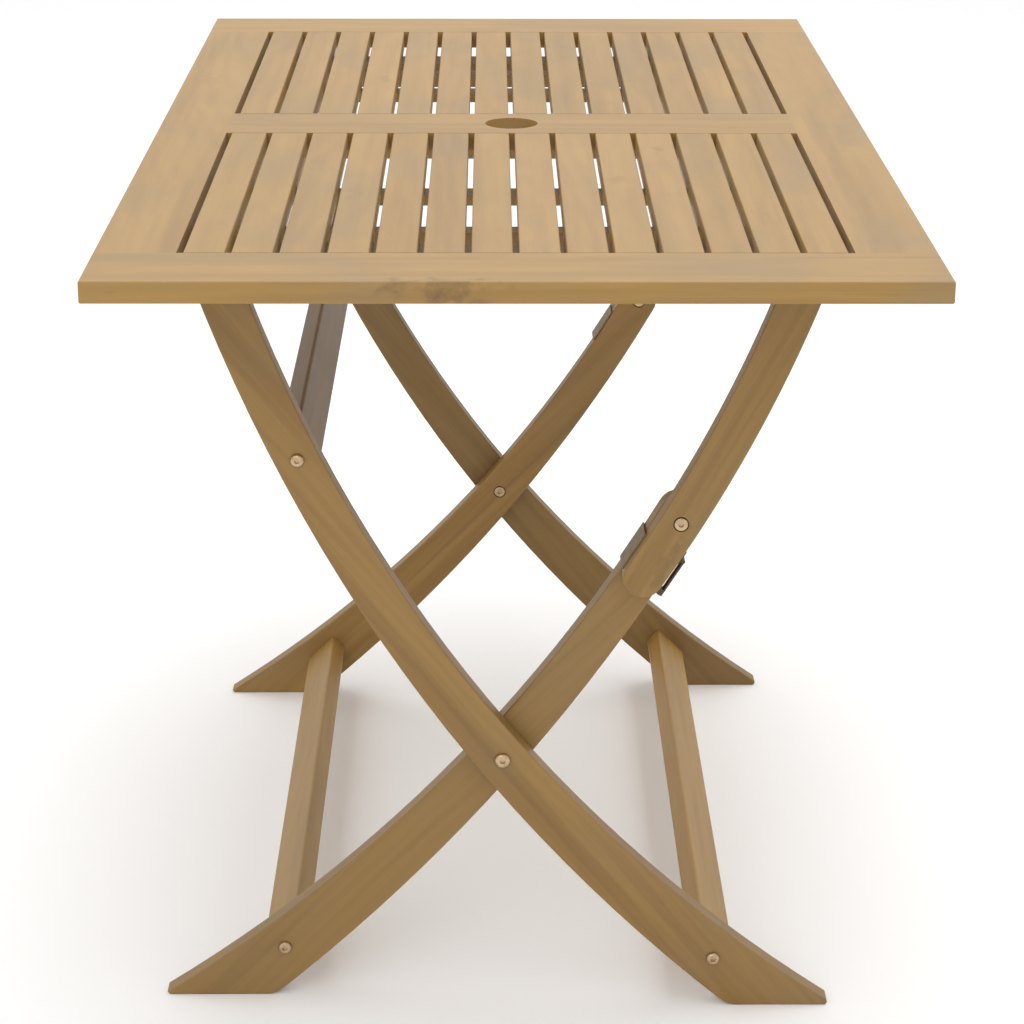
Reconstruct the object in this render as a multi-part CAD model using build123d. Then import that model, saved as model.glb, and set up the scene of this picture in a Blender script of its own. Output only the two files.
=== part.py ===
"""Folding garden table: a slatted wooden top on two pairs of curved, crossing legs.

The table stands on the plane Z = 0 with its long side along Y and the centre of
its footprint at the origin.  The legs cross in X, one pair at the front (-Y) and
one pair at the rear (+Y).  One leg of each pair (leg A) is a single curved piece;
the other (leg B) is broken at a knee, so that the whole frame folds under the top.
"""

from build123d import *
import os

os.makedirs("parts", exist_ok=True)

# ---------------------------------------------------------------------------
# Driving dimensions, in millimetres
# ---------------------------------------------------------------------------
TOP_WIDTH = 680.0            # across the table, X
TOP_LENGTH = 1200.0          # along the table, Y
TOP_HEIGHT = 750.0           # floor to the top surface
BOARD = 18.0                 # thickness of the rails and slats

END_RAIL_WIDTH = 90.0
SIDE_RAIL_WIDTH = 67.0
MIDDLE_RAIL_WIDTH = 92.0
MIDDLE_RAIL_DEPTH = 25.0
PARASOL_HOLE = 51.0          # bore for a parasol pole

SLATS_PER_PANEL = 14
SLAT_GAP = 5.2
SLAT_END_GAP = 1.0           # shadow line where a slat meets a rail
EASE = 1.5                   # softened edges of the boards

LEG_THICKNESS = 20.0
LAYER_GAP = 1.5              # washer space between two leg layers
LEG_FACE_Y = 391.0           # outer face of the outer leg layer
FOOT_HEEL_RADIUS = 24.0
FOOT_TOE_RADIUS = 3.0

BATTEN_INNER_Y = 347.5       # inner face of the batten that carries the legs
BATTEN_HEIGHT = 42.0         # at its ends, where the legs hang
BATTEN_MIDDLE = 14.0         # over the arch that the folded knees rise into
BATTEN_ARCH = 410.0          # width of the arch
BATTEN_ARCH_RADIUS = 24.0    # of its upper corners
OUTER_BATTEN_Y = (410.0, 456.0)
OUTER_BATTEN_HEIGHT = 16.0
SLAT_BATTEN_WIDTH = 28.0
SLAT_BATTEN_HEIGHT = 9.5
FRONT_SLAT_BATTEN_Y = -216.0
REAR_SLAT_BATTEN_Y = 255.0

STRETCHER = (42.0, 20.0)     # section of the bars that tie front and rear legs
STRETCHER_EDGE = 3.0

PIVOT_SHANK = 6.0            # diameters
PIVOT_HEAD = 12.0
PIVOT_RECESS = 14.0
PIVOT_RECESS_DEPTH = 3.0
PIVOT_HEAD_EASE = 0.7
PIVOT_SOCKET = 5.0           # across the flats of its hexagon socket
RUNNING = 0.05               # radial clearance of a pivot
HEAD_PROUD = 0.7             # pivot head above the wood
HEAD_SEAT_GAP = 0.3
SHANK_INSET = 1.5            # from the wood's face down into a head
BUTTON_HEAD = 12.5
CROSSING_HEAD = 14.2
BUTTON_HEIGHT = 3.4
BUTTON_DOME = 0.8            # share of the height that the dome's edge rounds
BUTTON_SOCKET = 4.5
SOCKET_DEPTH = 2.4
STRETCHER_SCREW_HOLE = 44.0  # depth of the hole in a stretcher's end
STRETCHER_SCREW = 38.0       # length of the screw in that hole
WASHER_OUTSIDE = 16.0
WASHER_THICKNESS = 1.2

# Centreline of each curved member: (X, Z, width) at three stations
LEG_A_STATIONS = ((-257.5, 706.0, 40.0), (-9.7, 249.8, 44.8), (281.5, -25.5, 62.5))
LEG_B_STATIONS = ((146.4, 475.5, 38.0), (-9.7, 249.8, 43.5), (-304.0, -24.2, 66.0))
LINK_STATIONS = ((253.0, 706.0, 37.4), (191.0, 558.2, 36.6), (114.1, 424.7, 36.0))

TOP_PIVOT_A = (-257.5, 706.0)
TOP_PIVOT_B = (253.0, 706.0)
CROSSING = (-9.7, 249.8)
KNEE = (146.4, 475.5)
UPPER_STRETCHER_A = (-188.3, 534.8)
FOOT_BOLT_A = (185.2, 49.1)
FOOT_BOLT_B = (-211.9, 49.8)

STRETCHER_TILT_A_UPPER = 117.0   # degrees, along the local run of the leg
STRETCHER_TILT_A_LOWER = 136.0
STRETCHER_TILT_B_LOWER = 44.0

STOP_SEAT = (106.8, 446.2)   # middle of the stop plate, on the edge of leg B
STOP_TILT = 58.1
STOP_SIZE = (38.0, 1.5)      # length and thickness
STOP_CLEARANCE = 0.4
STOP_ROOT = 2.5              # how far its root reaches down to the knee link
STOP_DEPTH = (349.8, 381.0)  # over leg B's whole edge and half the knee link's

LATCH_PIVOT = (149.1, 439.3)
LATCH_TILT = 58.0
LATCH_KNUCKLE = 1.8          # radius
LATCH_PIN = 1.0              # radius
LATCH_LENGTH = 38.0
LATCH_BLADE = 1.5            # thickness
LATCH_HOOK = (6.0, 3.2)      # length along the blade, and height of its tip
LATCH_DEPTH = (374.0, 388.0)  # between the outsides of the two ears
LATCH_EAR = 1.5
LATCH_SIDE_GAP = 0.3         # between the blade and each ear
LATCH_BASE = (-4.0, 9.0)     # ends of the plate that carries the ears
LATCH_BASE_RISE = (2.2, 3.8)  # its two faces, above the pin
LATCH_EAR_RISE = 2.6

TOUCHING = 0.01              # closer than this counts as touching
OVERCUT = 1.0                # how far a cutting tool runs past a face


# ---------------------------------------------------------------------------
# Plane geometry of the curved members (X across, Z up)
# ---------------------------------------------------------------------------
def arc_centre(a, b, c):
    """Centre of the circle through three points of the plane."""
    (ax, az), (bx, bz), (cx, cz) = a, b, c
    d = 2 * (ax * (bz - cz) + bx * (cz - az) + cx * (az - bz))
    sa, sb, sc = ax * ax + az * az, bx * bx + bz * bz, cx * cx + cz * cz
    x = (sa * (bz - cz) + sb * (cz - az) + sc * (az - bz)) / d
    z = (sa * (cx - bx) + sb * (ax - cx) + sc * (bx - ax)) / d
    return Vector(x, z)


def curved_member(stations, round_far_end=False):
    """Tapered bow: both long edges are arcs, the first end is a full round."""
    centre = arc_centre(*[(x, z) for x, z, _ in stations])
    hollow, bulge = [], []
    for x, z, width in stations:
        point = Vector(x, z)
        toward = (centre - point).normalized()
        hollow.append(point + toward * (width / 2))
        bulge.append(point - toward * (width / 2))
    tips = []
    for end, inner in ((0, 1), (2, 1)):
        x, z, width = stations[end]
        along = (hollow[end] - bulge[end]).normalized().rotate(Axis.Z, 90)
        away = Vector(x, z) - Vector(*stations[inner][:2])
        if along.dot(away) < 0:
            along = -along
        tips.append(Vector(x, z) + along * (width / 2))
    outline = ThreePointArc(*hollow) + ThreePointArc(*bulge)
    outline += ThreePointArc(bulge[0], tips[0], hollow[0])
    if round_far_end:
        outline += ThreePointArc(bulge[2], tips[1], hollow[2])
    else:
        outline += Line(bulge[2], hollow[2])
    return make_face(outline)


def rectangle(left, right, bottom, top):
    return Pos((left + right) / 2, (bottom + top) / 2) * Rectangle(right - left, top - bottom)


def floor_corners(foot):
    """Corners of an outline on the floor, from the heel out to the toe."""
    return foot.vertices().filter_by(lambda v: v.Y < TOUCHING).sort_by(lambda v: abs(v.X))


def cut_at_floor(bow):
    """Flat foot: a rounded heel under the leg and a small round on the toe."""
    foot = bow & rectangle(-TOP_WIDTH, TOP_WIDTH, 0, TOP_HEIGHT)
    foot = fillet(floor_corners(foot)[0], FOOT_HEEL_RADIUS)
    return fillet(floor_corners(foot)[-1], FOOT_TOE_RADIUS)


# ---------------------------------------------------------------------------
# Solids.  Leg frames are built for the front (-Y) side and mirrored to the rear.
# Depths are distances from the table's middle plane, Y = 0.
# ---------------------------------------------------------------------------
def slab(sketch, inner, outer):
    """Front-side plate of a plane sketch between two depths."""
    return extrude(Plane.XZ.offset(inner) * sketch, amount=outer - inner)


def pin(centre, radius, inner, outer):
    return slab(Pos(*centre) * Circle(radius), inner, outer)


def shank_hole(centre, layer):
    """Cutter for a bolt's hole through a layer that lies between two depths."""
    return pin(centre, PIVOT_SHANK / 2 + RUNNING, layer[0] - OVERCUT, layer[1] + OVERCUT)


def recess(centre, face, inward):
    """Cutter for a counterbore in a broad face; inward is +1 or -1 in depth."""
    ends = sorted((face - inward * OVERCUT, face + inward * PIVOT_RECESS_DEPTH))
    return pin(centre, PIVOT_RECESS / 2, *ends)


def both_sides(*fronts):
    """Pieces and their mirror images on the rear frame, as separate solids."""
    return Compound(children=[*fronts, *(mirror(front, about=Plane.XZ) for front in fronts)])


def eased_slab(sketch, inner, outer):
    """Plate with softened edges round both broad faces."""
    plate = slab(sketch, inner, outer)
    rims = plate.faces().filter_by(Axis.Y).edges()
    return fillet(rims, EASE)


def board(low, high, eased=None):
    """Rectangular board between two corners; 'eased' picks the edges to soften."""
    size = [h - l for l, h in zip(low, high)]
    middle = [(l + h) / 2 for l, h in zip(low, high)]
    solid = Pos(*middle) * Box(*size)
    if eased:
        solid = fillet(eased(solid), EASE)
    return solid


def save(node, shape):
    export_step(shape, f"parts/{node}.step")


def save_pair(name, front):
    """Write a front piece and its mirror image at the rear as two nodes."""
    save(f"{name}_front", front)
    save(f"{name}_rear", mirror(front, about=Plane.XZ))


# ---- outlines of the members in the XZ plane --------------------------------
leg_a_outline = cut_at_floor(curved_member(LEG_A_STATIONS))
leg_b_outline = cut_at_floor(curved_member(LEG_B_STATIONS))
link_outline = curved_member(LINK_STATIONS, round_far_end=True)

OUTER = (LEG_FACE_Y - LEG_THICKNESS, LEG_FACE_Y)
INNER = (OUTER[0] - LAYER_GAP - LEG_THICKNESS, OUTER[0] - LAYER_GAP)
UNDERSIDE = TOP_HEIGHT - BOARD
HALF_WIDTH = TOP_WIDTH / 2
HALF_LENGTH = TOP_LENGTH / 2
INSIDE_X = HALF_WIDTH - SIDE_RAIL_WIDTH
INSIDE_Y = HALF_LENGTH - END_RAIL_WIDTH


# ---------------------------------------------------------------------------
# Table top
# ---------------------------------------------------------------------------
def outside_edges(solid):
    """Edges of an end rail that can be touched: upright corners and outer rims."""
    outer_face = solid.faces().sort_by(Axis.Y)[0]
    ends = [solid.faces().sort_by(Axis.X)[0], solid.faces().sort_by(Axis.X)[-1]]
    rims = outer_face.edges()
    for face in ends:
        rims += face.edges().filter_by(Axis.Y)
    return rims


def side_rims(solid):
    return solid.faces().sort_by(Axis.X)[-1].edges().filter_by(Axis.Y)


def upper_long_edges(solid):
    return solid.faces().sort_by(Axis.Z)[-1].edges().filter_by(Axis.Y)


end_rail = board((-HALF_WIDTH, -HALF_LENGTH, UNDERSIDE),
                 (HALF_WIDTH, -INSIDE_Y, TOP_HEIGHT), outside_edges)
save_pair("end_rail", end_rail)

side_rail = board((INSIDE_X, -INSIDE_Y, UNDERSIDE), (HALF_WIDTH, INSIDE_Y, TOP_HEIGHT), side_rims)
save("side_rail_right", side_rail)
save("side_rail_left", mirror(side_rail, about=Plane.YZ))

middle_rail = board((-INSIDE_X, -MIDDLE_RAIL_WIDTH / 2, TOP_HEIGHT - MIDDLE_RAIL_DEPTH),
                    (INSIDE_X, MIDDLE_RAIL_WIDTH / 2, TOP_HEIGHT))
middle_rail -= Pos(0, 0, TOP_HEIGHT) * Cylinder(PARASOL_HOLE / 2, 4 * MIDDLE_RAIL_DEPTH)
save("middle_rail", middle_rail)

slat_width = (2 * INSIDE_X - (SLATS_PER_PANEL + 1) * SLAT_GAP) / SLATS_PER_PANEL
slat_pitch = slat_width + SLAT_GAP
slat_near = MIDDLE_RAIL_WIDTH / 2 + SLAT_END_GAP
slat_far = INSIDE_Y - SLAT_END_GAP
for number in range(SLATS_PER_PANEL):
    left = -INSIDE_X + SLAT_GAP + number * slat_pitch
    slat = board((left, -slat_far, UNDERSIDE), (left + slat_width, -slat_near, TOP_HEIGHT),
                 upper_long_edges)
    save(f"slat_front_{number + 1:02d}", slat)
    save(f"slat_rear_{number + 1:02d}", mirror(slat, about=Plane.XZ))

# Battens under the slats: one behind each pair of legs, one outside it, one mid-panel
batten_reach = INSIDE_X + SIDE_RAIL_WIDTH / 2
batten_outline = rectangle(-batten_reach, batten_reach, UNDERSIDE - BATTEN_HEIGHT, UNDERSIDE)
batten_outline -= (Pos(0, UNDERSIDE - BATTEN_MIDDLE - BATTEN_ARCH / 2)
                   * RectangleRounded(BATTEN_ARCH, BATTEN_ARCH, BATTEN_ARCH_RADIUS))
leg_batten = slab(batten_outline, BATTEN_INNER_Y, INNER[1])
for centre in (TOP_PIVOT_A, TOP_PIVOT_B):
    leg_batten -= shank_hole(centre, (BATTEN_INNER_Y, INNER[1]))
save_pair("leg_batten", leg_batten)

outer_batten = board((-batten_reach, -OUTER_BATTEN_Y[1], UNDERSIDE - OUTER_BATTEN_HEIGHT),
                     (batten_reach, -OUTER_BATTEN_Y[0], UNDERSIDE))
save_pair("outer_batten", outer_batten)

for node, middle in (("slat_batten_front", FRONT_SLAT_BATTEN_Y),
                     ("slat_batten_rear", REAR_SLAT_BATTEN_Y)):
    save(node, board((-batten_reach, middle - SLAT_BATTEN_WIDTH / 2, UNDERSIDE - SLAT_BATTEN_HEIGHT),
                     (batten_reach, middle + SLAT_BATTEN_WIDTH / 2, UNDERSIDE)))


# ---------------------------------------------------------------------------
# Legs
# ---------------------------------------------------------------------------
leg_a = eased_slab(leg_a_outline, *OUTER) - recess(TOP_PIVOT_A, OUTER[1], -1)
for centre in (TOP_PIVOT_A, CROSSING, UPPER_STRETCHER_A, FOOT_BOLT_A):
    leg_a -= shank_hole(centre, OUTER)
save_pair("leg_a", leg_a)

knee_link = eased_slab(link_outline, *OUTER)
for centre in (TOP_PIVOT_B, KNEE):
    knee_link -= shank_hole(centre, OUTER)
    knee_link -= recess(centre, OUTER[1], -1)
save_pair("knee_link", knee_link)

leg_b = eased_slab(leg_b_outline, *INNER)
for centre in (KNEE, CROSSING):
    leg_b -= shank_hole(centre, INNER)
    leg_b -= recess(centre, INNER[0], 1)
leg_b -= shank_hole(FOOT_BOLT_B, INNER)
save_pair("leg_b", leg_b)


# ---------------------------------------------------------------------------
# Stretchers
# ---------------------------------------------------------------------------
def stretcher(centre, tilt, reach):
    """Bar along Y between two legs, its broad side following the legs' slope."""
    section = Pos(*centre) * Rot(0, 0, tilt) * RectangleRounded(*STRETCHER, STRETCHER_EDGE)
    bar = slab(section, -reach, reach)
    hole = shank_hole(centre, (reach - STRETCHER_SCREW_HOLE, reach))
    return bar - hole - mirror(hole, about=Plane.XZ)


save("stretcher_a_upper", stretcher(UPPER_STRETCHER_A, STRETCHER_TILT_A_UPPER, OUTER[0]))
save("stretcher_a_lower", stretcher(FOOT_BOLT_A, STRETCHER_TILT_A_LOWER, OUTER[0]))
save("stretcher_b_lower", stretcher(FOOT_BOLT_B, STRETCHER_TILT_B_LOWER, INNER[0]))


# ---------------------------------------------------------------------------
# Fasteners
# ---------------------------------------------------------------------------
def socket(centre, face, inward, across):
    """Cutter for a hexagon socket in a bolt head's outer face."""
    key = Pos(*centre) * RegularPolygon(across / 2, 6, major_radius=False)
    return slab(key, *sorted((face - inward * OVERCUT, face + inward * SOCKET_DEPTH)))


def pivot_head(centre, face, inward):
    """Flat round head that sits in a counterbore and stands slightly proud of it."""
    outside = face - inward * HEAD_PROUD
    inside = face + inward * (PIVOT_RECESS_DEPTH - HEAD_SEAT_GAP)
    head = pin(centre, PIVOT_HEAD / 2, *sorted((outside, inside)))
    rim = head.faces().sort_by(Axis.Y)[0 if inward < 0 else -1].edges()
    return fillet(rim, PIVOT_HEAD_EASE) - socket(centre, outside, inward, PIVOT_SOCKET)


def pivot_bolt(centre, outer_face, inner_face):
    """Bolt and barrel nut drawn together: a head at each end of one shank."""
    bolt = pivot_head(centre, outer_face, -1)
    bolt += pin(centre, PIVOT_SHANK / 2, inner_face + SHANK_INSET, outer_face - SHANK_INSET)
    return bolt + pivot_head(centre, inner_face, 1)


def button_bolt(centre, face, diameter=BUTTON_HEAD, reach=LEG_THICKNESS + STRETCHER_SCREW):
    """Dome-headed bolt on a leg's face; 'reach' is how far its shank goes in."""
    head = pin(centre, diameter / 2, face, face + BUTTON_HEIGHT)
    head = fillet(head.faces().sort_by(Axis.Y)[0].edges(), BUTTON_HEIGHT * BUTTON_DOME)
    head -= socket(centre, face + BUTTON_HEIGHT, -1, BUTTON_SOCKET)
    return head + pin(centre, PIVOT_SHANK / 2, face - reach, face)


def washer(centre, inner):
    layer = (inner, inner + WASHER_THICKNESS)
    return pin(centre, WASHER_OUTSIDE / 2, *layer) - shank_hole(centre, layer)


knee_bolt = pivot_bolt(KNEE, OUTER[1], INNER[0])
save("knee_bolts", both_sides(knee_bolt))

save("crossing_bolts", both_sides(button_bolt(CROSSING, OUTER[1], CROSSING_HEAD, LEG_THICKNESS)))

crossing_nut = pivot_head(CROSSING, INNER[0], 1)
crossing_nut += pin(CROSSING, PIVOT_SHANK / 2, INNER[0] + SHANK_INSET, INNER[1])
crossing_nut += pin(CROSSING, WASHER_OUTSIDE / 2, INNER[1], INNER[1] + WASHER_THICKNESS)
save("crossing_nuts", both_sides(crossing_nut))

# These nuts lie on the batten's flat inner face instead of in a counterbore
nut_face = BATTEN_INNER_Y - PIVOT_RECESS_DEPTH + HEAD_SEAT_GAP
save("top_pivot_bolts", both_sides(*(pivot_bolt(centre, OUTER[1], nut_face)
                                     for centre in (TOP_PIVOT_A, TOP_PIVOT_B))))

save("stretcher_bolts_a", both_sides(*(button_bolt(centre, OUTER[1])
                                       for centre in (UPPER_STRETCHER_A, FOOT_BOLT_A))))
save("stretcher_bolts_b", both_sides(button_bolt(FOOT_BOLT_B, INNER[1])))

save("knee_washers", both_sides(washer(KNEE, OUTER[0] - WASHER_THICKNESS)))
save("top_washers", both_sides(*(washer(centre, INNER[1]) for centre in (TOP_PIVOT_A, TOP_PIVOT_B))))


# ---------------------------------------------------------------------------
# Knee hardware
# ---------------------------------------------------------------------------
stop_seat = Pos(*STOP_SEAT) * Rot(0, 0, STOP_TILT)
half_stop = STOP_SIZE[0] / 2
stop_top = STOP_CLEARANCE + STOP_SIZE[1]
stop_face = stop_seat * rectangle(-half_stop, half_stop, STOP_CLEARANCE, stop_top)
stop_root = stop_seat * rectangle(-half_stop, half_stop, -STOP_ROOT, stop_top) - link_outline
stop_plate = slab(stop_face, STOP_DEPTH[0], OUTER[0]) + slab(stop_root, OUTER[0], STOP_DEPTH[1])
save("knee_stop_plates", both_sides(stop_plate))

# Sprung latch: a blade that swings on a pin between two ears, with a hooked tip
latch_seat = Pos(*LATCH_PIVOT) * Rot(0, 0, LATCH_TILT)
latch_outline = Circle(LATCH_KNUCKLE)
latch_outline += rectangle(-LATCH_LENGTH, 0, -LATCH_KNUCKLE, LATCH_BLADE - LATCH_KNUCKLE)
latch_outline += rectangle(-LATCH_LENGTH, LATCH_HOOK[0] - LATCH_LENGTH, -LATCH_KNUCKLE, LATCH_HOOK[1])
latch_outline -= Circle(LATCH_PIN + RUNNING)
inside_ears = LATCH_EAR + LATCH_SIDE_GAP
latch = slab(latch_seat * latch_outline, LATCH_DEPTH[0] + inside_ears, LATCH_DEPTH[1] - inside_ears)
save_pair("knee_latch", latch)

latch_base = latch_seat * rectangle(*LATCH_BASE, *LATCH_BASE_RISE) - link_outline
latch_ear = Circle(LATCH_KNUCKLE) + rectangle(-LATCH_KNUCKLE, LATCH_KNUCKLE, 0, LATCH_EAR_RISE)
latch_mount = slab(latch_base, *LATCH_DEPTH) + pin(LATCH_PIVOT, LATCH_PIN, *LATCH_DEPTH)
for ear in (LATCH_DEPTH[0], LATCH_DEPTH[1] - LATCH_EAR):
    latch_mount += slab(latch_seat * latch_ear, ear, ear + LATCH_EAR)
save("latch_mounts", both_sides(latch_mount))
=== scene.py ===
"""Looks for the folding garden table: weathered, oiled wood with satin steel fasteners.

Everything is in metres, in the CAD frame: Z up, the floor at Z = 0, the table's long side along Y.
"""

import math
import random

import bmesh
import bpy
from mathutils import Euler, Matrix, Vector


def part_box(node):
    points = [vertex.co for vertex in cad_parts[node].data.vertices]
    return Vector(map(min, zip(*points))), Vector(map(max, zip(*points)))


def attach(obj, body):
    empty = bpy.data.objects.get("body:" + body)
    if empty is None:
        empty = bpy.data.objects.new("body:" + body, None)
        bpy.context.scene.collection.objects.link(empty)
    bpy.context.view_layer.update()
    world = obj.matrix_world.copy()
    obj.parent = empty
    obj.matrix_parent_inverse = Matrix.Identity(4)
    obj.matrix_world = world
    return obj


SEED = 11

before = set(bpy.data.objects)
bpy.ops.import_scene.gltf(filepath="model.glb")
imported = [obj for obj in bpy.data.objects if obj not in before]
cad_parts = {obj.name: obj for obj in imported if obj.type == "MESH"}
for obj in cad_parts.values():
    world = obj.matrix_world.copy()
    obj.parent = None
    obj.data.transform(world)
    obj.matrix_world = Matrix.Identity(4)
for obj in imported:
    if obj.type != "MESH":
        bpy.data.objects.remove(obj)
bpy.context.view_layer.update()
scene = bpy.context.scene

# ---------------------------------------------------------------------------
# Camera, fitted to the table's own corners: metres and degrees
# ---------------------------------------------------------------------------
CAMERA_PLACE = (-0.0219763, -2.72543, 1.31337)
CAMERA_DOWN = 19.488
CAMERA_TURN = 0.4947         # to the right of straight ahead
CAMERA_ROLL = 0.1487
LENS = 99.66                 # mm, on a 36 mm sensor

# ---------------------------------------------------------------------------
# Wood colours (linear) and figure sizes
# ---------------------------------------------------------------------------
HEART = (0.294, 0.163, 0.037)
SAP = (0.368, 0.212, 0.054)
GREYED = (0.272, 0.194, 0.104)
DARK_STREAK = (0.120, 0.062, 0.022)
KNOT = (0.060, 0.036, 0.022)
KNOT_WOBBLE = 2.4            # how far a knot strays from an oval, in its half-sizes
SHEEN_ROUGHNESS = 0.35
PAINTED_GAP_LIGHT = (1.40, 1.55, 1.45)    # painted light: the slat flanks in the gaps, lightened against the top faces
GAP_LIGHT_DEPTH = 0.0012         # how far down a slat its top colour reaches before the painted gap light starts
GAP_LIGHT_EDGE = 0.0012          # over which the top colour turns into the painted gap light
RING_WIDTH = 0.0110          # distance from one growth ring to the next
WAVE_RADIANS = 20.0          # Blender's wave texture turns this far for each unit at scale 1
WAVER = 22.0                 # how far, in radians, a growth ring strays from a circle

# Noise layers: scale along the grain and across it, detail, roughness, seed step, distortion
RING_WAVER = ((2.2, 12, 12), 3.0, 0.5, 0, 0.0)
FIBRE = ((9, 620, 620), 4.0, 0.65, 7, 0.0)
BAND = ((1.6, 42, 42), 5.0, 0.6, 13, 0.0)
CLOUD = ((5, 11, 11), 3.0, 0.5, 19, 0.6)
STREAK = ((1.3, 70, 70), 3.0, 0.5, 29, 0.3)
PORE = ((55, 1500, 1500), 2.0, 0.5, 37, 0.0)
KNOT_SEED = 43               # seed step of the knots' wobble
KNOT_SCALE = 75.0            # of the noise that bends a knot's outline

# Where each layer starts and ends on its noise, and how strongly it shows
BAND_MIDDLE = 0.52
BAND_SPREAD = 0.20
BAND_SHIFT = 0.12            # how far one board's mix of heart and sap differs from the next
CLOUD_RAMP = (0.42, 0.68)
STREAK_RAMP = (0.60, 0.78)
STREAK_SHARE = (0.12, 0.38)
PORE_RAMP = (0.62, 0.75)
PORE_SHARE = 0.22
KNOT_RAMP = (0.02, 0.75)
KNOT_RINGS = 15.0
KNOT_RING_SHARE = 0.15
RING_SHARE = 0.05
FIBRE_SHARE = 0.26
BOARD_LEVEL = (0.955, 1.045)  # lightness of one board against the next
BOARD_GREEN = (0.985, 1.01)
BOARD_BLUE = (0.95, 1.02)
GLOSS = (0.18, 0.40, 0.15)   # roughness gained from fibre, its base, and what greyed patches add
RELIEF = (0.35, -2.0)        # height of the rings and of the pores against the fibre's
BUMP = (0.35, 0.00025)       # strength, and depth in metres

STEEL_STAIN = 160.0          # noise scales of the stains and of the turning marks
STEEL_MARKS = 2600.0
STEEL_DULL = 0.45            # colour of a stain against clean steel


# ---------------------------------------------------------------------------
# Node helpers
# ---------------------------------------------------------------------------
class Graph:
    """A material's node tree, built one node at a time."""

    def __init__(self, name):
        self.material = bpy.data.materials.new(name)
        self.material.use_nodes = True
        self.tree = self.material.node_tree
        self.shader = self.tree.nodes["Principled BSDF"]

    def node(self, kind, settings=None, **inputs):
        """Make a node; an input is a socket to link or a plain value to set."""
        made = self.tree.nodes.new(kind)
        for key, value in (settings or {}).items():
            setattr(made, key, value)
        for key, value in inputs.items():
            self.put(made.inputs[key.replace("_", " ")], value)
        return made

    def put(self, socket, value):
        """Link a socket, or set a plain value."""
        if isinstance(value, bpy.types.NodeSocket):
            self.tree.links.new(value, socket)
        else:
            socket.default_value = value

    def math(self, operation, *values, clamp=False):
        """One step of arithmetic on sockets and numbers."""
        made = self.tree.nodes.new("ShaderNodeMath")
        made.operation = operation
        made.use_clamp = clamp
        for socket, value in zip(made.inputs, values):
            self.put(socket, value)
        return made.outputs[0]

    def noise(self, vector, scale, detail=4.0, roughness=0.55, seed=0.0, distortion=0.0):
        made = self.node("ShaderNodeTexNoise", {"noise_dimensions": "4D"}, Vector=vector, Scale=scale,
                         Detail=detail, Roughness=roughness, W=seed, Distortion=distortion)
        return made.outputs["Fac"]

    def layer(self, grain, seed, scale, detail, roughness, step, distortion):
        """One of the noise layers above, stretched along the grain."""
        return self.noise(self.stretch(grain, scale), 1.0, detail, roughness, seed + step, distortion)

    def stretch(self, vector, scale, place=(0, 0, 0), turn=(0, 0, 0)):
        made = self.node("ShaderNodeMapping", Vector=vector, Location=place, Rotation=turn, Scale=scale)
        return made.outputs["Vector"]

    def ramp(self, value, low, high):
        """0 below low, 1 above high, smooth in between."""
        made = self.node("ShaderNodeMapRange", {"interpolation_type": "SMOOTHSTEP"}, Value=value)
        made.inputs["From Min"].default_value = low
        made.inputs["From Max"].default_value = high
        return made.outputs["Result"]

    def blend(self, share, first, second, mode="MIX"):
        """Mix two colours by a share, or multiply them."""
        made = self.tree.nodes.new("ShaderNodeMix")
        made.data_type = "RGBA"
        made.blend_type = mode
        self.put(made.inputs["Factor"], share)
        for socket, value in zip((made.inputs[6], made.inputs[7]), (first, second)):
            self.put(socket, (*value, 1.0) if isinstance(value, tuple) else value)
        return made.outputs[2]

    def grey(self, value):
        """The same value on all three channels."""
        made = self.node("ShaderNodeCombineColor", Red=value, Green=value, Blue=value)
        return made.outputs["Color"]


def along_grain(graph, centre, turn):
    """Object coordinates turned so that X runs along the grain from the board's middle."""
    place = graph.node("ShaderNodeTexCoord").outputs["Object"]
    made = graph.node("ShaderNodeMapping", {"vector_type": "TEXTURE"}, Vector=place, Location=centre,
                      Rotation=turn)
    return made.outputs["Vector"]


def knot_field(graph, grain, place, size, seed):
    """0 far from a knot and 1 at its heart; size is (along, across, through)."""
    nudge = graph.node("ShaderNodeTexNoise", {"noise_dimensions": "4D"}, Vector=grain, Scale=KNOT_SCALE,
                       Detail=3.0, W=seed).outputs["Color"]
    wobble = graph.node("ShaderNodeVectorMath", {"operation": "MULTIPLY_ADD"})
    graph.put(wobble.inputs[0], nudge)
    wobble.inputs[1].default_value = [KNOT_WOBBLE * s for s in size]
    graph.put(wobble.inputs[2], grain)
    centre = [p + KNOT_WOBBLE / 2 * s for p, s in zip(place, size)]
    moved = graph.node("ShaderNodeMapping", {"vector_type": "TEXTURE"}, Vector=wobble.outputs["Vector"],
                       Location=centre, Scale=size)
    distance = graph.node("ShaderNodeVectorMath", {"operation": "LENGTH"})
    graph.put(distance.inputs[0], moved.outputs["Vector"])
    return graph.math("SUBTRACT", 1.0, distance.outputs["Value"], clamp=True)


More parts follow.
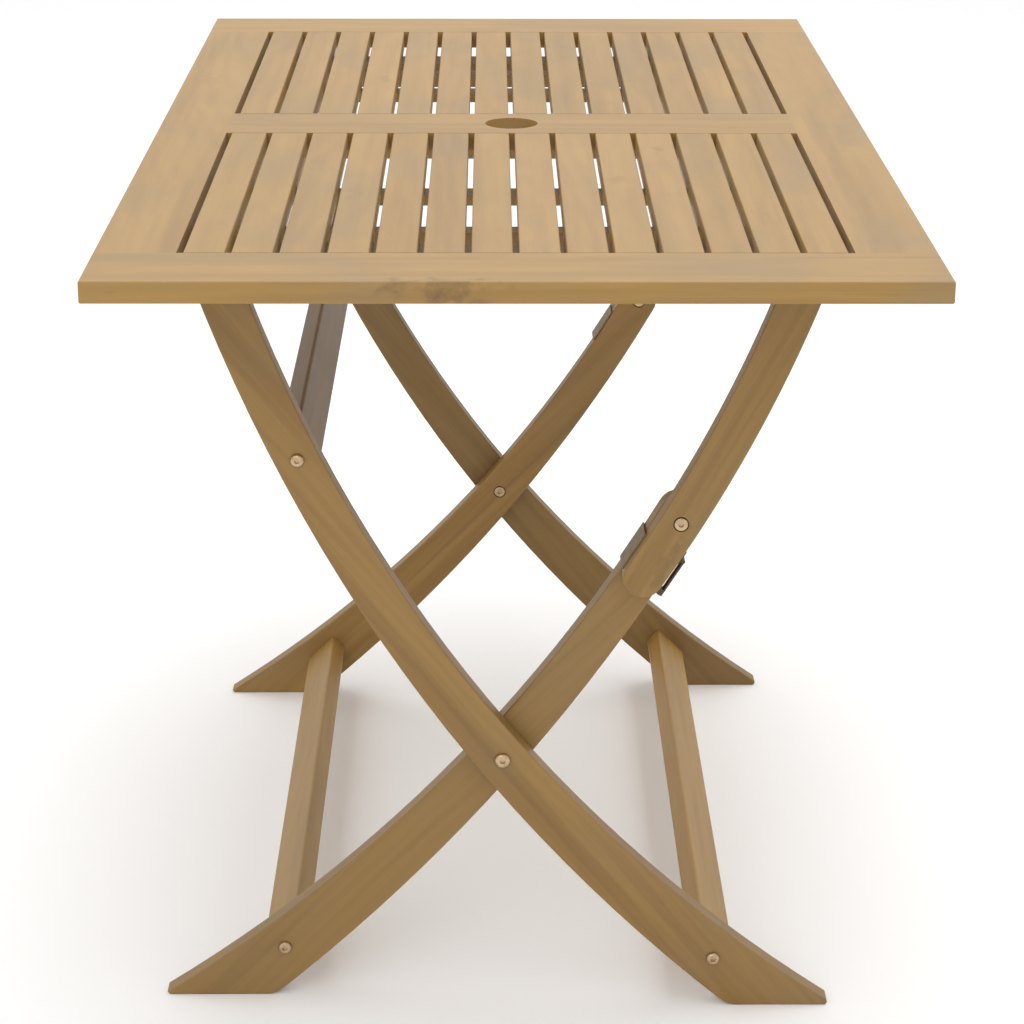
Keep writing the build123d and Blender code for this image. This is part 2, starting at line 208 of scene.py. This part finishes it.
def wood(name, centre, turn, dice, painted_shade, grey, contrast, sheen, knots=(), gap_light_reach=None):
    """Oiled wood with growth rings, fine grain, greyed patches and dark streaks.

    The last argument, where given, is the height above and below the board's middle between which its
    flanks get painted light: they are lightened to stand for light reaching into the gaps between the
    slats.
    """
    graph = Graph(name)
    seed = dice.uniform(0, 90)
    grain = along_grain(graph, centre, turn)

    # Growth rings round a pith that lies outside the board, which gives cathedral figure
    pith = (0.0, dice.uniform(-0.05, 0.05), dice.choice((-1, 1)) * dice.uniform(0.03, 0.09))
    tilt = (0.0, dice.uniform(-0.07, 0.07), dice.uniform(-0.05, 0.05))
    ring_place = graph.stretch(grain, (1, 1, 1), pith, tilt)
    waver = graph.layer(grain, seed, *RING_WAVER)
    rings = graph.node("ShaderNodeTexWave", {"wave_type": "RINGS", "rings_direction": "X"},
                       Vector=ring_place, Scale=2 * math.pi / (WAVE_RADIANS * RING_WIDTH),
                       Distortion=3.0, Detail=2.0)
    rings.inputs["Detail Scale"].default_value = 0.35
    graph.put(rings.inputs["Phase Offset"], graph.math("MULTIPLY", waver, WAVER))
    ring = rings.outputs["Fac"]

    fibre = graph.layer(grain, seed, *FIBRE)
    band = graph.layer(grain, seed, *BAND)
    cloud = graph.layer(grain, seed, *CLOUD)
    streak = graph.layer(grain, seed, *STREAK)
    pore = graph.layer(grain, seed, *PORE)

    spread = BAND_SPREAD / contrast
    middle = BAND_MIDDLE - BAND_SHIFT * dice.uniform(0.0, 1.0)
    colour = graph.blend(graph.ramp(band, middle - spread, middle + spread), HEART, SAP)
    patch = graph.math("MULTIPLY", graph.ramp(cloud, *CLOUD_RAMP), grey * dice.uniform(0.5, 1.0))
    colour = graph.blend(patch, colour, GREYED)
    ring_dark = graph.math("MULTIPLY_ADD", ring, RING_SHARE, 1 - RING_SHARE)
    colour = graph.blend(1.0, colour, graph.grey(ring_dark), "MULTIPLY")
    lines = graph.math("MULTIPLY", graph.ramp(streak, *STREAK_RAMP), dice.uniform(*STREAK_SHARE))
    colour = graph.blend(lines, colour, DARK_STREAK)
    fine = graph.math("MULTIPLY_ADD", fibre, FIBRE_SHARE, 1 - FIBRE_SHARE / 2)
    colour = graph.blend(1.0, colour, graph.grey(fine), "MULTIPLY")
    specks = graph.math("MULTIPLY", graph.ramp(pore, *PORE_RAMP), PORE_SHARE)
    colour = graph.blend(specks, colour, DARK_STREAK)
    for place, size, depth in knots:
        heart = knot_field(graph, grain, place, size, seed + KNOT_SEED)
        swirl = graph.math("SINE", graph.math("MULTIPLY", heart, KNOT_RINGS))
        swirl = graph.math("MULTIPLY_ADD", swirl, KNOT_RING_SHARE, 1 - KNOT_RING_SHARE)
        share = graph.math("MULTIPLY", graph.ramp(heart, *KNOT_RAMP), swirl)
        colour = graph.blend(graph.math("MULTIPLY", share, depth), colour, KNOT)
    # Painted light: the flanks are lightened to stand for light reaching into the gaps between the slats
    if gap_light_reach:
        height = graph.node("ShaderNodeSeparateXYZ", Vector=grain).outputs["Z"]
        below = graph.math("SUBTRACT", 1.0, graph.ramp(height, gap_light_reach - GAP_LIGHT_EDGE, gap_light_reach))
        above = graph.ramp(height, -gap_light_reach, GAP_LIGHT_EDGE - gap_light_reach)
        gap_lit_colour = graph.blend(1.0, colour, PAINTED_GAP_LIGHT, "MULTIPLY")
        colour = graph.blend(graph.math("MULTIPLY", below, above), colour, gap_lit_colour)
    # Painted shade: the board's colour is scaled by its shade level, which stands for the light that
    # reaches it; the random part is the boards' own tone
    level = painted_shade * dice.uniform(*BOARD_LEVEL)
    tint = (level, level * dice.uniform(*BOARD_GREEN), level * dice.uniform(*BOARD_BLUE))
    colour = graph.blend(1.0, colour, tint, "MULTIPLY")
    graph.put(graph.shader.inputs["Base Color"], colour)
    graph.shader.inputs["Sheen Weight"].default_value = sheen
    graph.shader.inputs["Sheen Roughness"].default_value = SHEEN_ROUGHNESS

    gloss = graph.math("MULTIPLY_ADD", fibre, GLOSS[0], GLOSS[1])
    graph.put(graph.shader.inputs["Roughness"], graph.math("MULTIPLY_ADD", patch, GLOSS[2], gloss))
    relief = graph.math("MULTIPLY_ADD", specks, RELIEF[1], fibre)
    relief = graph.math("MULTIPLY_ADD", ring, RELIEF[0], relief)
    bump = graph.node("ShaderNodeBump", Height=relief, Strength=BUMP[0], Distance=BUMP[1])
    graph.put(graph.shader.inputs["Normal"], bump.outputs["Normal"])
    return graph.material


def steel(name, colour, roughness, tarnish, metallic=1.0):
    """Plated steel with fine turning marks, a little tarnish and soft stains."""
    graph = Graph(name)
    place = graph.node("ShaderNodeTexCoord").outputs["Object"]
    stain = graph.noise(place, STEEL_STAIN, 4.0, 0.6, 2.0)
    fine = graph.noise(place, STEEL_MARKS, 3.0, 0.6, 5.0)
    share = graph.math("MULTIPLY", graph.ramp(stain, 0.45, 0.75), tarnish)
    dull = tuple(STEEL_DULL * c for c in colour)
    graph.put(graph.shader.inputs["Base Color"], graph.blend(share, colour, dull))
    graph.shader.inputs["Metallic"].default_value = metallic
    uneven = graph.math("MULTIPLY_ADD", fine, 0.10, roughness - 0.15)
    uneven = graph.math("MULTIPLY_ADD", stain, 0.25, uneven)
    graph.put(graph.shader.inputs["Roughness"], uneven)
    bump = graph.node("ShaderNodeBump", Height=fine, Strength=0.2, Distance=0.00005)
    graph.put(graph.shader.inputs["Normal"], bump.outputs["Normal"])
    return graph.material


# ---------------------------------------------------------------------------
# Materials on the CAD nodes
# ---------------------------------------------------------------------------
def dress(piece, material):
    """Give a piece one material."""
    piece.data.materials.clear()
    piece.data.materials.append(material)


def middle_and_turn(node):
    """A board's middle, and the turn that lays the X axis along its grain."""
    low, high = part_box(node)
    middle = (low + high) / 2
    size = high - low
    if node.startswith(("leg_a", "leg_b", "knee_link")) and "batten" not in node:
        rise = -1 if node.startswith("leg_a") else 1
        return middle, (0.0, -rise * math.atan2(size.z, size.x), 0.0)
    if size.y > size.x:
        return middle, (0.0, 0.0, math.pi / 2)
    return middle, (0.0, 0.0, 0.0)


# Knots: place from the board's middle and half-size, along the grain, across it and through it
KNOTS = {
    "end_rail_front": (((-0.060, -0.045, 0.004), (0.060, 0.016, 0.012), 0.42),
                       ((-0.058, -0.045, -0.006), (0.022, 0.012, 0.009), 0.45),
                       ((-0.030, -0.045, -0.008), (0.016, 0.012, 0.006), 0.40)),
    "slat_front_10": (((0.03, 0.004, 0.009), (0.030, 0.012, 0.010), 0.18),),
    "slat_rear_04": (((-0.05, -0.004, 0.009), (0.022, 0.009, 0.010), 0.25),),
    "leg_a_front": (((-0.21, 0.004, -0.01), (0.05, 0.02, 0.012), 0.22),),
    "knee_link_front": (((-0.134, -0.010, -0.017), (0.060, 0.020, 0.007), 0.30),
                        ((-0.060, -0.010, 0.010), (0.070, 0.020, 0.005), 0.20)),
    "leg_a_rear": (((0.10, -0.010, 0.006), (0.060, 0.020, 0.006), 0.22),),
    "slat_front_03": (((0.10, 0.000, 0.009), (0.050, 0.016, 0.010), 0.13),),
    "slat_front_04": (((-0.02, 0.004, 0.009), (0.040, 0.010, 0.010), 0.12),),
    "slat_front_11": (((0.16, 0.000, 0.009), (0.016, 0.007, 0.010), 0.25),),
    "slat_front_13": (((-0.10, 0.004, 0.009), (0.060, 0.010, 0.010), 0.13),),
    "side_rail_left": (((0.22, 0.005, 0.009), (0.045, 0.018, 0.010), 0.12),),
}

# Painted shade (a colour level; the frame's lower level stands for the shade under the top), greyed
# patches, contrast of the figure, and the dusty bloom seen along a weathered face
TOP_LOOK = (0.97, 0.6, 1.0, 0.06)
FRAME_LOOK = (0.78, 0.35, 1.6, 0.0)
# Painted shade and light: boards darkened or lightened against the rest of the frame for how much light
# reaches each one
PAINTED_SHADES = {"leg_b_front": 0.69, "leg_a_rear": 0.62, "knee_link_front": 0.83, "stretcher_a_lower": 1.05,
          "stretcher_b_lower": 0.98, "leg_b_rear": 0.84, "stretcher_a_upper": 0.52}
BOLTS = steel("bolt_steel", (0.53, 0.385, 0.235), 0.32, 0.6)
PLATES = steel("plate_steel", (0.200, 0.138, 0.062), 0.50, 0.5, 0.15)
LATCHES = steel("latch_steel", (0.070, 0.046, 0.020), 0.42, 0.6, 0.2)
STEEL_NODES = {
    "bolts": BOLTS, "washers": BOLTS, "nuts": BOLTS,
    "stop_plates": PLATES, "latch": LATCHES,
}

dice = random.Random(SEED)
for node, piece in sorted(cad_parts.items()):
    metal = [material for word, material in STEEL_NODES.items() if word in node]
    if metal:
        dress(piece, metal[0])
        continue
    on_top = node.startswith(("slat_front", "slat_rear", "end_rail", "side_rail", "middle_rail"))
    centre, turn = middle_and_turn(node)
    look = TOP_LOOK if on_top else (PAINTED_SHADES.get(node, FRAME_LOOK[0]), *FRAME_LOOK[1:])
    low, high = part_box(node)
    # Only the slats get painted light on their flanks in the gaps
    gap_light_reach = (high.z - low.z) / 2 - GAP_LIGHT_DEPTH if node.startswith("slat") and on_top else None
    dress(piece, wood(f"wood_{node}", centre, turn, dice, *look, KNOTS.get(node, ()), gap_light_reach))


# ---------------------------------------------------------------------------
# Wood screws that hold the slats to their battens, driven from below
# ---------------------------------------------------------------------------
SCREW_RADIUS = 0.0036
SCREW_PROUD = 0.0006
SCREW_CROSS = (0.0005, 0.0019)   # half-width and reach of the cross recess
SCREW_CROSS_DEPTH = 0.0012
SCREW_RECESS_TAPER = 0.75        # width of the recess at its floor against its mouth
SCREW_SIDES = 24
# Each ring of the head: share of the radius, and height above the batten's underside
SCREW_PROFILE = ((0.96, 0.0008), (1.0, 0.0), (0.94, -SCREW_PROUD * 0.7), (0.80, -SCREW_PROUD))


def cross_outline():
    """24 points round a cross, counter-clockwise from the end of its first arm."""
    thin, reach = SCREW_CROSS
    points = []
    for quarter in range(4):
        turn = Matrix.Rotation(quarter * math.pi / 2, 2)
        halfway = (reach + thin) / 2
        arm = ((reach, -thin), (reach, 0.0), (reach, thin), (halfway, thin), (thin, thin), (thin, halfway))
        points += [turn @ Vector(p) for p in arm]
    return points


def add_screw(mesh, place):
    """One countersunk cross-head screw, its head facing down."""
    outline = cross_outline()
    start = math.atan2(outline[0].y, outline[0].x)
    rings = []
    for share, height in SCREW_PROFILE:
        radius = SCREW_RADIUS * share
        ring = []
        for side in range(SCREW_SIDES):
            angle = start + 2 * math.pi * side / SCREW_SIDES
            point = Vector((radius * math.cos(angle), radius * math.sin(angle), height))
            ring.append(mesh.verts.new(place + point))
        rings.append(ring)
    for scale, height in ((1.0, -SCREW_PROUD), (SCREW_RECESS_TAPER, SCREW_CROSS_DEPTH - SCREW_PROUD)):
        rings.append([mesh.verts.new(place + Vector((p.x * scale, p.y * scale, height))) for p in outline])
    for upper, lower in zip(rings, rings[1:]):
        for side in range(SCREW_SIDES):
            after = (side + 1) % SCREW_SIDES
            mesh.faces.new((upper[side], upper[after], lower[after], lower[side]))
    mesh.faces.new(rings[-1])
    mesh.faces.new(rings[0][::-1])


def batten_screws(batten, slats):
    """A row of screws under one batten, one for each slat it carries."""
    low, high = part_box(batten)
    mesh = bmesh.new()
    for slat in slats:
        near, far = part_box(slat)
        add_screw(mesh, Vector(((near.x + far.x) / 2, (low.y + high.y) / 2, low.z)))
    bmesh.ops.recalc_face_normals(mesh, faces=mesh.faces)
    data = bpy.data.meshes.new(f"screws_{batten}")
    mesh.to_mesh(data)
    mesh.free()
    piece = bpy.data.objects.new(f"screws_{batten}", data)
    scene.collection.objects.link(piece)
    dress(piece, BOLTS)
    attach(piece, "table_top")


for end in ("front", "rear"):
    slats = sorted(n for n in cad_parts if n.startswith(f"slat_{end}_"))
    for batten in (f"outer_batten_{end}", f"slat_batten_{end}"):
        batten_screws(batten, slats)


# ---------------------------------------------------------------------------
# Studio: pale floor, soft light, camera
# ---------------------------------------------------------------------------
FLOOR_REACH = 20.0
WORLD_STRENGTH = 0.88
# Softboxes: name, place, what it faces, size and watts
LAMPS = (
    ("key", (-1.2, -4.2, 2.6), (0, 0, 0.4), (3.0, 2.2), 32),
    ("top", (0.3, 0.3, 3.6), (0, 0, 0.7), (3.5, 3.5), 70),
    ("back", (0, 6.5, 3.0), (0, 0, 0.7), (8.0, 3.0), 25),
)


def floor():
    """A plain pale floor."""
    mesh = bpy.data.meshes.new("floor")
    corners = [(x * FLOOR_REACH, y * FLOOR_REACH, 0) for x, y in ((-1, -1), (1, -1), (1, 1), (-1, 1))]
    mesh.from_pydata(corners, [], [(0, 1, 2, 3)])
    piece = bpy.data.objects.new("floor", mesh)
    scene.collection.objects.link(piece)
    graph = Graph("floor")
    graph.shader.inputs["Base Color"].default_value = (0.97, 0.97, 0.97, 1)
    graph.shader.inputs["Roughness"].default_value = 0.9
    graph.shader.inputs["Specular IOR Level"].default_value = 0.1
    dress(piece, graph.material)


def softbox(name, place, target, size, watts):
    """A soft rectangular light that faces a point."""
    lamp = bpy.data.lights.new(name, "AREA")
    lamp.shape = "RECTANGLE"
    lamp.size, lamp.size_y = size
    lamp.energy = watts
    piece = bpy.data.objects.new(name, lamp)
    piece.location = place
    piece.rotation_euler = (Vector(target) - Vector(place)).to_track_quat("-Z", "Y").to_euler()
    scene.collection.objects.link(piece)


floor()
for lamp in LAMPS:
    softbox(*lamp)

world = bpy.data.worlds.new("studio")
world.use_nodes = True
world.node_tree.nodes["Background"].inputs["Color"].default_value = (1.0, 1.0, 1.0, 1)
world.node_tree.nodes["Background"].inputs["Strength"].default_value = WORLD_STRENGTH
scene.world = world
scene.view_settings.view_transform = "Standard"

camera = bpy.data.cameras.new("camera")
camera.lens = LENS
camera.sensor_width = 36.0
eye = bpy.data.objects.new("camera", camera)
eye.location = CAMERA_PLACE
facing = Euler((math.radians(90 - CAMERA_DOWN), 0.0, -math.radians(CAMERA_TURN))).to_matrix()
eye.rotation_euler = (facing @ Matrix.Rotation(math.radians(CAMERA_ROLL), 3, "Z")).to_euler()
scene.collection.objects.link(eye)
scene.camera = eye
